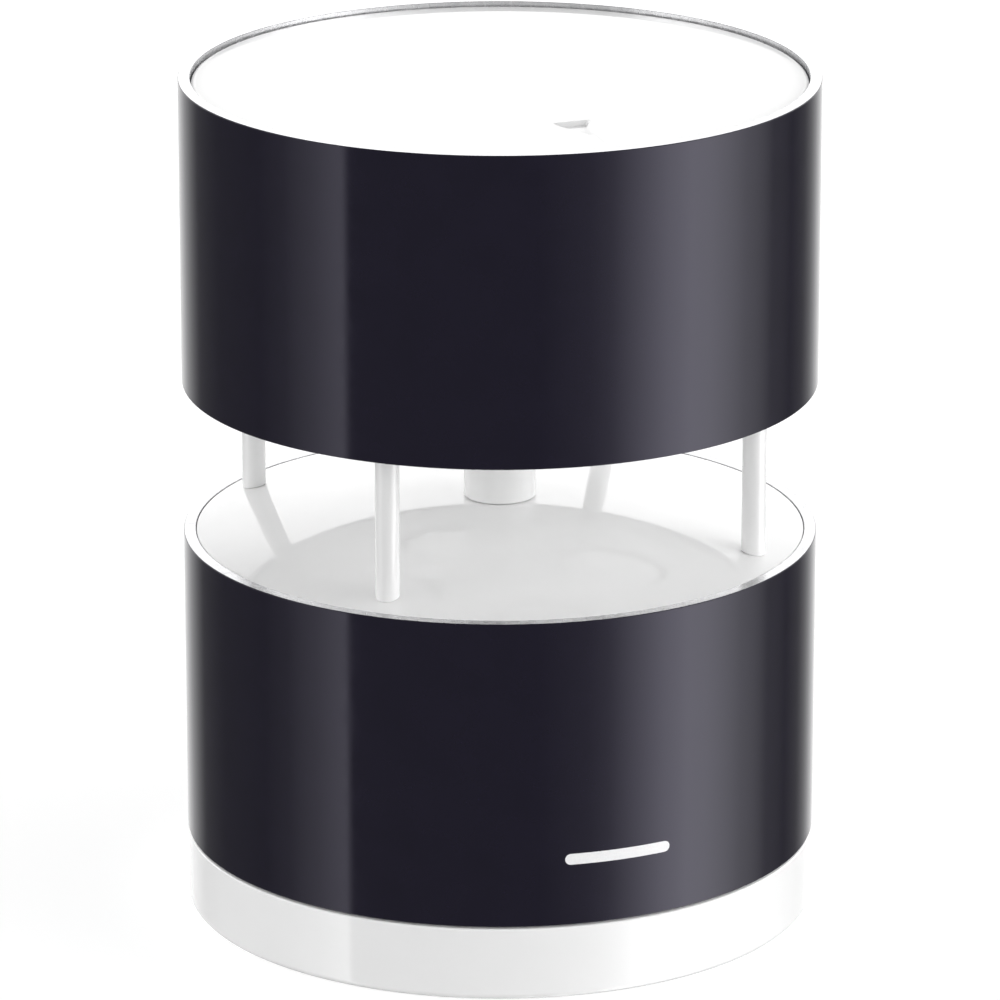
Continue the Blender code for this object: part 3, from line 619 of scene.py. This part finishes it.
def sleeve(name, low, high):
    """A tube, black outside and bare on its machined end faces and inner wall."""
    corners = [
        (SLEEVE_INNER, high, SLEEVE_EDGE / 2),
        (OUTER_RADIUS, high, SLEEVE_EDGE),
        (OUTER_RADIUS, low, SLEEVE_EDGE),
        (SLEEVE_INNER, low, SLEEVE_EDGE / 2),
    ]
    mesh = lathe(name, outline(corners), ROUND)
    obj = piece(f"{name}_tube", mesh, "housing", (BLACK, BARE), (name,))
    for polygon in obj.data.polygons:
        outwards = polygon.normal.dot(polygon.center) > 0
        if abs(polygon.normal.z) > 0.9 or not outwards:
            polygon.material_index = 1


def rounded_arrow(offset, height):
    """The arrow's outline at one height, drawn in or out about its inscribed circle's centre."""
    length = ARROW_TIP - ARROW_BACK
    flank = math.hypot(ARROW_HALF_WIDTH, length)
    inscribed = ARROW_HALF_WIDTH * length / (ARROW_HALF_WIDTH + flank)
    centre = Vector((0, -ARROW_BACK - inscribed))
    growth = 1 + offset / inscribed
    corners = [(-ARROW_HALF_WIDTH, -ARROW_BACK), (0, -ARROW_TIP), (ARROW_HALF_WIDTH, -ARROW_BACK)]
    moved = [centre + (Vector(corner) - centre) * growth for corner in corners]
    rounding = ARROW_CORNER * growth
    points = outline([(point.x, point.y, rounding) for point in moved])
    return [(x, y, height) for x, y in points]


def arrow_pocket():
    """A pocket whose walls slope in to a smaller floor."""
    levels = [
        rounded_arrow(-ARROW_WALL_RUN, CAP_TOP - ARROW_DEPTH),
        rounded_arrow(0, CAP_TOP),
        rounded_arrow(0, CAP_TOP + PAST),
    ]
    return prism(levels)


def cap():
    corners = [
        (SKIRT_INNER, CAP_UNDERSIDE),
        (SKIRT_INNER, SKIRT_LOW, 0.3 * MM),
        (SKIRT_OUTER, SKIRT_LOW, 0.3 * MM),
        (SKIRT_OUTER, CAP_UNDERSIDE),
        (CORE_OUTER, CAP_UNDERSIDE, 0.15 * MM),
        (CORE_OUTER, CAP_TOP, CAP_EDGE),
    ]
    middle = outline(corners)
    points = [(0, CAP_UNDERSIDE), *middle, (0, CAP_TOP)]
    mesh = carved(lathe("cap", points, ROUND), [("DIFFERENCE", arrow_pocket())])
    piece("cap_disc", mesh, "housing", (GLOSS,), ("top_cap",))


def upper_core():
    corners = [
        (CORE_INNER, UPPER_WALL_TOP, 0.2 * MM),
        (CORE_OUTER, UPPER_WALL_TOP, 0.2 * MM),
        (CORE_OUTER, UPPER_FLOOR, CORE_EDGE),
        (SPIGOT_HOLE, UPPER_FLOOR, 0.15 * MM),
        (SPIGOT_HOLE, UPPER_FLOOR_TOP, 0.15 * MM),
        (CORE_INNER, UPPER_FLOOR_TOP, 0.6 * MM),
    ]
    bosses = bmesh.new()
    holes = bmesh.new()
    for angle in DIAGONALS:
        x, y = on_circle(BOSS_CIRCLE, angle)
        add_cylinder(bosses, x, y, UPPER_FLOOR_TOP - PAST / 2, CLAMP_LOW - FRAME_GAP, BOSS_RADIUS)
        add_cylinder(holes, x, y, UPPER_FLOOR_TOP + PAST, CLAMP_LOW + PAST, PILOT_RADIUS)
        x, y = on_circle(POST_CIRCLE, angle)
        add_cylinder(holes, x, y, UPPER_FLOOR - PAST, UPPER_FLOOR_TOP + PAST, CLEAR_RADIUS)
    mouths = bmesh.new()
    flares = bmesh.new()
    for angle in CARDINALS:
        x, y = on_circle(TRANSDUCER_CIRCLE, angle)
        add_cylinder(mouths, x, y, UPPER_FLOOR - PAST, UPPER_FLOOR_TOP + PAST, MOUTH_RADIUS, FINE)
        wide = MOUTH_RADIUS + MOUTH_CHAMFER + PAST
        low, high = UPPER_FLOOR - PAST, UPPER_FLOOR + MOUTH_CHAMFER
        add_cylinder(flares, x, y, low, high, wide, FINE, MOUTH_RADIUS)
    steps = [("UNION", bosses), ("DIFFERENCE", holes), ("DIFFERENCE", mouths), ("DIFFERENCE", flares)]
    mesh = carved(lathe("upper_core", outline(corners), ROUND), steps)
    piece("upper_core", mesh, "housing", (GLOSS,), ("upper_housing",))


def transducer(number, angle):
    """An aluminium can whose flat face is sunk in a thin rim, with two pins on its back."""
    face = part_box(f"transducer_{number}")[0].z
    pin_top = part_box(f"transducer_{number}")[1].z
    back = face + TRANSDUCER_LENGTH
    x, y = on_circle(TRANSDUCER_CIRCLE, angle)
    inner = TRANSDUCER_RADIUS - FACE_RIM
    corners = [
        (inner, face + FACE_SINK, 0.1 * MM),
        (inner, face, 0.1 * MM),
        (TRANSDUCER_RADIUS, face, TRANSDUCER_EDGE),
        (TRANSDUCER_RADIUS, back, 0.2 * MM),
    ]
    points = [(0, face + FACE_SINK), *outline(corners), (0, back)]
    mesh = lathe("transducer", points, FINE, (x, y))
    pins = bmesh.new()
    for side in (-1, 1):
        across, along = on_circle(side * PIN_SPREAD, angle + QUARTER)
        add_cylinder(pins, x + across, y + along, back - PAST / 2, pin_top, PIN_RADIUS, 16)
    mesh = carved(mesh, [("UNION", pins)])
    name = f"transducer_{number}"
    piece(f"{name}_can", mesh, "housing", (CAN,), (name,))


# ---------------------------------------------------------------- pieces across the gap


def post(number, angle):
    """A tapped rod whose foot is cut to the dome's slope."""
    low, high = (corner.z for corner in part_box(f"post_{number}"))
    corners = [
        (TAP_RADIUS, low, 0.1 * MM),
        (POST_RADIUS, low, POST_EDGE),
        (POST_RADIUS, high, POST_EDGE),
        (TAP_RADIUS, high, 0.1 * MM),
    ]
    points = [(0, low + TAP_DEPTH), (TAP_RADIUS, low + TAP_DEPTH), *outline(corners)]
    points += [(TAP_RADIUS, high - TAP_DEPTH), (0, high - TAP_DEPTH)]
    mesh = lathe("post", points, SMALL, on_circle(POST_CIRCLE, angle))
    for vertex in mesh.vertices:
        x, y, z = vertex.co
        if z < low + POST_EDGE * 1.5:
            vertex.co.z += dome_height(math.hypot(x, y)) - low
    piece(f"post_{number}_rod", mesh, "housing", (POST,), (f"post_{number}",))


def tube():
    low, high = (corner.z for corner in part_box("centre_tube"))
    foot, head = low + SPIGOT_LENGTH - FRAME_GAP, high - SPIGOT_LENGTH + FRAME_GAP
    corners = [
        (TUBE_BORE, high, 0.2 * MM),
        (SPIGOT_RADIUS, high, 0.3 * MM),
        (SPIGOT_RADIUS, head),
        (TUBE_RADIUS, head, TUBE_EDGE),
        (TUBE_RADIUS, foot, TUBE_EDGE),
        (SPIGOT_RADIUS, foot),
        (SPIGOT_RADIUS, low, 0.3 * MM),
        (TUBE_BORE, low, 0.2 * MM),
    ]
    mesh = lathe("tube", outline(corners), FINE)
    piece("wire_tube", mesh, "housing", (POST,), ("centre_tube",))


# ---------------------------------------------------------------- pieces of the lower drum


def dome_height(radius):
    return LOWER_TOP + DOME_RISE * (1 - (radius / CORE_RADIUS) ** 2)


def lower_core():
    """The white cup whose domed roof mirrors the sound, with the closure's ridges inside it."""
    over_radii = spread(SPIGOT_HOLE, CORE_OUTER - CORE_EDGE, DOME_RINGS)
    under_radii = spread(CORE_INNER, SPIGOT_HOLE, DOME_RINGS)
    roof = [(radius, dome_height(radius)) for radius in over_radii]
    under = [(radius, dome_height(radius) - PLATE) for radius in under_radii]
    corners = [(CORE_OUTER, dome_height(CORE_OUTER), CORE_EDGE * 0.6), (CORE_OUTER, CORE_BOTTOM, 0.2 * MM)]
    edge = outline([roof[-1], *corners, (CORE_INNER, CORE_BOTTOM)])[1:]
    points = [*roof, *edge, *under]
    bosses = bmesh.new()
    holes = bmesh.new()
    boss_low = MAIN_BOARD_TOP + FRAME_GAP
    boss_high = dome_height(BOSS_CIRCLE) - PLATE / 2
    for angle in DIAGONALS:
        x, y = on_circle(BOSS_CIRCLE, angle)
        add_cylinder(bosses, x, y, boss_low, boss_high, BOSS_RADIUS)
        add_cylinder(holes, x, y, boss_low - PAST, boss_high - 3 * PAST, PILOT_RADIUS)
        x, y = on_circle(POST_CIRCLE, angle)
        add_cylinder(holes, x, y, LOWER_TOP - 4 * PAST, LOWER_TOP + 4 * PAST, CLEAR_RADIUS)
    ridges = bmesh.new()
    stops = bmesh.new()
    for angle in CARDINALS:
        add_helical_block(ridges, RIDGE_RADII, RIDGE_ANGLES, angle, RIDGE_LOW, RIDGE_HEIGHT, 24)
        add_helical_block(stops, RIDGE_RADII, STOP_ANGLES, angle, RIDGE_LOW + PAST, STOP_HEIGHT, 2)
    steps = [("UNION", bosses), ("UNION", ridges), ("UNION", stops), ("DIFFERENCE", holes)]
    mesh = carved(lathe("lower_core", points, ROUND), steps)
    piece("lower_core", mesh, "housing", (GLOSS,), ("lower_housing",))


def printed_bar():
    """A plain bar with round ends, printed on the lower drum under the arrow."""
    bm = bmesh.new()
    straight = BAR_HALF_LENGTH - BAR_HALF_HEIGHT
    layers = []
    for radius in (OUTER_RADIUS + BAR_PROUD, OUTER_RADIUS - BAR_PROUD):
        rows = ([], [])
        for i in range(BAR_COLUMNS + 1):
            along = BAR_HALF_LENGTH * math.sin(QUARTER * (2 * i / BAR_COLUMNS - 1)) * 0.999
            past = max(0.0, abs(along) - straight) / BAR_HALF_HEIGHT
            half = BAR_HALF_HEIGHT * math.sqrt(1 - past**2)
            x, y = on_circle(radius, along / OUTER_RADIUS - QUARTER)
            for row, z in zip(rows, (BAR_HEIGHT - half, BAR_HEIGHT + half)):
                row.append(bm.verts.new((x, y, z)))
        layers.append(rows)
    (front_low, front_high), (back_low, back_high) = layers
    strips = [(front_low, front_high), (front_high, back_high), (back_high, back_low), (back_low, front_low)]
    for first, second in strips:
        for i in range(BAR_COLUMNS):
            bm.faces.new((first[i], first[i + 1], second[i + 1], second[i]))
    for i in (0, BAR_COLUMNS):
        bm.faces.new((front_low[i], front_high[i], back_high[i], back_low[i]))
    piece("printed_bar", mesh_from(bm, "printed_bar"), "housing", (INK,))


# ---------------------------------------------------------------- pieces of the base


def base_moulding():
    """The white band with its floor, tripod boss and lugged collar."""
    neck, flange, flange_low, boss_top = 7.0 * MM, 8.4 * MM, 7.5 * MM, 8.8 * MM
    collar_inner = COLLAR_RADIUS - COLLAR_WALL
    band_inner = OUTER_RADIUS - BAND_WALL
    corners = [
        (flange, boss_top, 0.3 * MM),
        (flange, flange_low, 0.15 * MM),
        (neck, flange_low),
        (neck, FLOOR, 0.4 * MM),
        (collar_inner, FLOOR, 0.6 * MM),
        (collar_inner, COLLAR_TOP, 0.3 * MM),
        (COLLAR_RADIUS, COLLAR_TOP, 0.3 * MM),
        (COLLAR_RADIUS, SHELF, 0.15 * MM),
        (SHELF_RADIUS, SHELF, 0.2 * MM),
        (SHELF_RADIUS, FLOOR_GROOVE, 0.4 * MM),
        (band_inner, FLOOR_GROOVE, 0.4 * MM),
        (band_inner, BAND_TOP, 0.2 * MM),
        (OUTER_RADIUS, BAND_TOP, BAND_EDGE),
        (OUTER_RADIUS, BAND_BOTTOM, FOOT_ROUND),
        (INSERT_SOCKET, BAND_BOTTOM, 0.25 * MM),
        (INSERT_SOCKET, INSERT_SOCKET_TOP),
    ]
    points = [(0, boss_top), *outline(corners), (0, INSERT_SOCKET_TOP)]
    lugs = bmesh.new()
    for angle in CARDINALS:
        add_helical_block(lugs, LUG_RADII, LUG_ANGLES, angle, LUG_BOTTOM, LUG_HEIGHT, 8)
    mesh = carved(lathe("base", points, ROUND), [("UNION", lugs)])
    piece("base_moulding", mesh, "base", (GLOSS,), ("base_cover",))


def seal_ring():
    centre_radius = COLLAR_RADIUS + FRAME_GAP + SEAL_SECTION
    centre_z = SHELF + FRAME_GAP + SEAL_SECTION
    sides = 20
    section = []
    for i in range(sides):
        x, z = on_circle(SEAL_SECTION, 2 * math.pi * i / sides)
        section.append((centre_radius + x, centre_z + z))
    mesh = lathe("seal_ring", section, ROUND)
    piece("seal_ring", mesh, "base", (RUBBER,), ("base_seal",))


def insert_shape(radius, height, angle):
    """Cuts the thread into the insert's bore, and knurling round its outside."""
    if radius < THREAD_RADIUS + 0.01 * MM:
        turn = (height / THREAD_PITCH - angle / (2 * math.pi)) % 1.0
        crest = 1 - abs(2 * turn - 1)
        return radius - THREAD_DEPTH * min(1.0, max(0.0, 1.25 * crest - 0.125))
    if radius > INSERT_RADIUS - 0.01 * MM:
        return radius - KNURL_DEPTH * (0.5 + 0.5 * math.cos(KNURL_COUNT * angle))
    return radius


def threaded_insert():
    shoulder = INSERT_RADIUS - INSERT_WAIST
    waist_low, waist_high = 3.2 * MM, 4.4 * MM
    lead = 0.3 * MM
    outside = [
        (INSERT_RADIUS, INSERT_TOP),
        (INSERT_RADIUS, waist_high + shoulder),
        (INSERT_WAIST, waist_high),
        (INSERT_WAIST, waist_low),
        (INSERT_RADIUS, waist_low - shoulder),
        (INSERT_RADIUS, INSERT_LOW),
        (THREAD_RADIUS + lead, INSERT_LOW),
    ]
    bore = [(THREAD_RADIUS, z) for z in spread(INSERT_LOW + lead, INSERT_TOP, 90)]
    mesh = lathe("threaded_insert", outside + bore, FINE * 2, shape=insert_shape)
    piece("threaded_insert", mesh, "base", (BRASS,), ("tripod_insert",))


# ---------------------------------------------------------------- hidden CAD nodes


def dress(material, *names):
    """Gives carried-over CAD nodes, named by their stems, a procedural material."""
    for name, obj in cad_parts.items():
        if name.startswith(names):
            obj.data.materials.clear()
            obj.data.materials.append(material)


def dress_hidden_nodes():
    steel = turned_metal("steel", (0.60, 0.60, 0.58), 0.28, 0.1 * MM)
    dress(RUBBER, "cap_gasket", "transducer_boot")
    dress(satin_white(), "transducer_clamp", "battery_carrier", "cell_retainer")
    dress(circuit_board(), "sensor_board", "main_board")
    dress(steel, "upper_post_screw", "lower_post_screw", "carrier_screw", "battery_spring", "contact_plate")
    dress(cell_film(), "cell_1", "cell_2", "cell_3", "cell_4")
    dress(wire_jackets(), "wire_loom")
    dress(foam(), "cell_pad")


# ---------------------------------------------------------------- studio


def studio_floor():
    """A white table, lit from below so that it stays white where the gauge shades it."""
    bm = bmesh.new()
    bmesh.ops.create_grid(bm, x_segments=2, y_segments=2, size=4.0)
    obj = bpy.data.objects.new("studio_floor", mesh_from(bm, "studio_floor"))
    bpy.context.scene.collection.objects.link(obj)
    material = new_material("floor_paper", Roughness=0.9)
    colour = tinted(material, noise(material, 0.4, 2.0), (0.59, 0.59, 0.59), (0.61, 0.61, 0.61))
    connect(material, colour, "Base Color")
    shader_of(material).inputs["Emission Color"].default_value = (1.0, 1.0, 1.0, 1.0)
    seen = node(material, "LightPath").outputs["Is Camera Ray"]
    glow = node(material, "Math", {0: seen, 1: TABLE_GLOW}, operation="MULTIPLY").outputs["Value"]
    connect(material, glow, "Emission Strength")
    obj.data.materials.append(material)
    obj.visible_glossy = False


def camera_direction():
    """The level direction from the gauge to the camera."""
    return Vector((math.sin(CAMERA_TURN), -math.cos(CAMERA_TURN), 0))


def level_ramp(add, share, levels):
    """Light levels at azimuths in degrees, joined by straight lines."""
    ramp = add("ValToRGB", {"Fac": share})
    elements = ramp.color_ramp.elements
    while len(elements) > 1:
        elements.remove(elements[-1])
    for i, (degrees, level) in enumerate(levels):
        position = (degrees + 180) / 360
        element = elements[0] if i == 0 else elements.new(position)
        element.position = position
        element.color = (level / BRIGHTEST,) * 3 + (1.0,)
    return add("Math", {0: ramp.outputs["Color"], 1: BRIGHTEST}, operation="MULTIPLY").outputs["Value"]


def studio_world():
    """Light by azimuth and height: bright cards stand on both sides, with dark flags beside them, under a
    dim sky. The camera itself sees plain white."""
    world = bpy.data.worlds.new("studio")
    bpy.context.scene.world = world
    world.use_nodes = True
    background = world.node_tree.nodes["Background"]
    background.inputs["Color"].default_value = (1.0, 1.0, 1.0, 1.0)
    add = functools.partial(node, world)
    towards = camera_direction()
    right = Vector((-towards.y, towards.x, 0))
    direction = add("TexCoord").outputs["Generated"]
    ahead = add("VectorMath", {0: direction, 1: towards}, operation="DOT_PRODUCT").outputs["Value"]
    aside = add("VectorMath", {0: direction, 1: right}, operation="DOT_PRODUCT").outputs["Value"]
    azimuth = add("Math", {0: aside, 1: ahead}, operation="ARCTAN2").outputs["Value"]
    share = add("MapRange", {"Value": azimuth, "From Min": -math.pi, "From Max": math.pi}).outputs["Result"]
    height = add("SeparateXYZ", {"Vector": direction}).outputs["Z"]

    def faded(elevations, below, above):
        low, high = (math.sin(elevation) for elevation in elevations)
        inputs = {"Value": height, "From Min": low, "From Max": high, "To Min": below, "To Max": above}
        return add("MapRange", inputs, interpolation_type="SMOOTHSTEP").outputs["Result"]

    low_light, horizon_light, sky_light = (
        level_ramp(add, share, levels) for levels in (LOW_LIGHT, HORIZON_LIGHT, SKY_LIGHT)
    )
    light = faded(CARD_TOP_FADE, faded(CARD_FOOT_FADE, low_light, horizon_light), sky_light)
    seen = add("LightPath").outputs["Is Camera Ray"]
    shown = add("MapRange", {"Value": seen, "To Min": light, "To Max": WHITE_SEEN}).outputs["Result"]
    world.node_tree.links.new(shown, background.inputs["Strength"])


def camera():
    data = bpy.data.cameras.new("camera")
    data.lens = CAMERA_LENS_MM
    data.sensor_width = 36.0
    data.shift_y = CAMERA_SHIFT
    data.clip_start = 0.05
    data.clip_end = 20.0
    obj = bpy.data.objects.new("camera", data)
    bpy.context.scene.collection.objects.link(obj)
    level = camera_direction() * math.cos(CAMERA_ELEVATION)
    back = level + Vector((0, 0, math.sin(CAMERA_ELEVATION)))
    obj.location = Vector((0, 0, CAMERA_AIM)) + back * CAMERA_DISTANCE
    obj.rotation_euler = (-back).to_track_quat("-Z", "Y").to_euler()
    bpy.context.scene.camera = obj


BLACK = black_anodised()
BARE = bare_rim()
GLOSS = gloss_white("gloss_white", (0.90, 0.90, 0.90), 0.045)
POST = gloss_white("post_white", (0.78, 0.78, 0.78), 0.08)
CAN = turned_metal("turned_aluminium", (0.80, 0.80, 0.80), 0.30, 0.12 * MM)
BRASS = turned_metal("turned_brass", (0.78, 0.56, 0.25), 0.26, 0.1 * MM)
RUBBER = rubber()
INK = printed_ink()

sleeve("upper_sleeve", UPPER_BOTTOM, TOTAL_HEIGHT)
sleeve("lower_sleeve", LOWER_SLEEVE_BOTTOM, LOWER_TOP)
cap()
upper_core()
for number, angle in enumerate(CARDINALS, 1):
    transducer(number, angle)
for number, angle in enumerate(DIAGONALS, 1):
    post(number, angle)
tube()
lower_core()
printed_bar()
base_moulding()
seal_ring()
threaded_insert()
dress_hidden_nodes()
studio_floor()
studio_world()
camera()
bpy.context.scene.view_settings.view_transform = "Standard"
